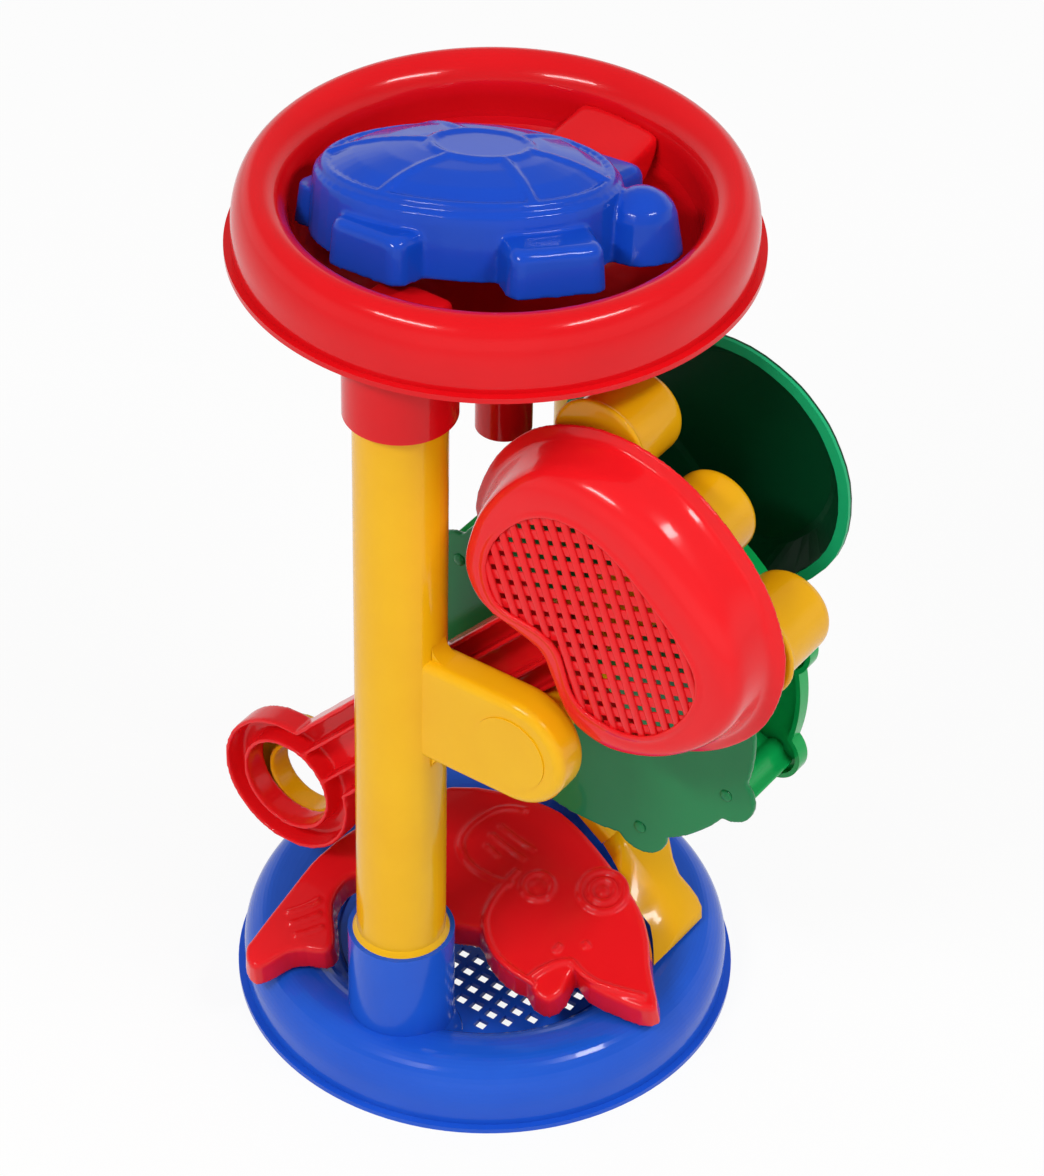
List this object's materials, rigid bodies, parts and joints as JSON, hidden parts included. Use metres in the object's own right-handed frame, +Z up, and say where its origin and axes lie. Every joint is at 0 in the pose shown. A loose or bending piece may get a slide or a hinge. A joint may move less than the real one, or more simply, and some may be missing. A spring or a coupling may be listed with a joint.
{
  "type": "sand wheel toy",
  "caption": "Free-standing sand toy: a hopper on two posts feeds a bucket wheel over a sieve base, with moulds, scoop, rake, shovel and spade stored on it.",
  "frame": {"origin": "centre of the underside of the base's ring foot", "axes": "+Z up, +X from the middle towards the wheel arms, +Y from the front post to the back post"},
  "size_m": [0.2379, 0.188, 0.3717],
  "materials": {
    "base_blue": "glossy blue moulded plastic",
    "post_yellow": "glossy warm yellow moulded plastic",
    "hopper_red": "glossy red moulded plastic",
    "axle_white": "smooth white plastic rod",
    "wheel_green": "glossy deep green moulded plastic",
    "disc_green": "glossy mid green moulded plastic",
    "turtle_blue": "glossy dark blue moulded plastic",
    "tool_red": "glossy red moulded plastic",
    "tool_yellow": "glossy warm yellow moulded plastic",
    "shovel_green": "glossy deep green moulded plastic"
  },
  "bodies": {
    "stand": {"base_tray": "base_blue", "base_sieve": "base_blue", "front_post": "post_yellow", "back_post": "post_yellow", "hopper_rim": "hopper_red", "hopper_bowl": "hopper_red", "hopper_spout": "hopper_red", "hopper_collars": "hopper_red", "hopper_caps": "hopper_red", "axle": "axle_white", "front_spacer": "post_yellow", "back_spacer": "post_yellow"},
    "wheel": {"wheel_core": "wheel_green", "wheel_front_disc": "disc_green", "wheel_back_disc": "wheel_green", "wheel_pins": "disc_green"},
    "turtle": {"turtle_mould": "turtle_blue"},
    "fish": {"fish_mould": "tool_red"},
    "scoop": {"scoop_basket": "tool_red", "scoop_sieve": "tool_red", "scoop_handle": "tool_red"},
    "rake": {"rake_head": "tool_yellow", "rake_handle": "tool_yellow"},
    "shovel": {"shovel_blade": "shovel_green", "shovel_handle": "shovel_green"},
    "spade": {"spade_blade": "tool_yellow", "spade_handle": "tool_yellow"}
  },
  "joints": [
    {"name": "wheel_turn", "type": "hinge", "parent": "stand", "child": "wheel", "pos_m": [0.0557, 0, 0.1785], "axis": [0, 1, 0], "continuous": true},
    {"name": "turtle_lift", "type": "slide", "parent": "stand", "child": "turtle", "axis": [0, 0, 1], "range_m": [0, 0.08]},
    {"name": "fish_pull", "type": "slide", "parent": "stand", "child": "fish", "axis": [-1, 0, 0], "range_m": [0, 0.15]},
    {"name": "scoop_pull", "type": "slide", "parent": "stand", "child": "scoop", "axis": [0.6756, 0, 0.7373], "range_m": [0, 0.038]},
    {"name": "rake_pull", "type": "slide", "parent": "stand", "child": "rake", "axis": [0.6756, 0, 0.7373], "range_m": [0, 0.02]},
    {"name": "shovel_pull", "type": "slide", "parent": "stand", "child": "shovel", "axis": [0.6756, 0, 0.7373], "range_m": [0, 0.025]},
    {"name": "spade_pull", "type": "slide", "parent": "stand", "child": "spade", "axis": [1, 0, 0], "range_m": [0, 0.13]}
  ]
}
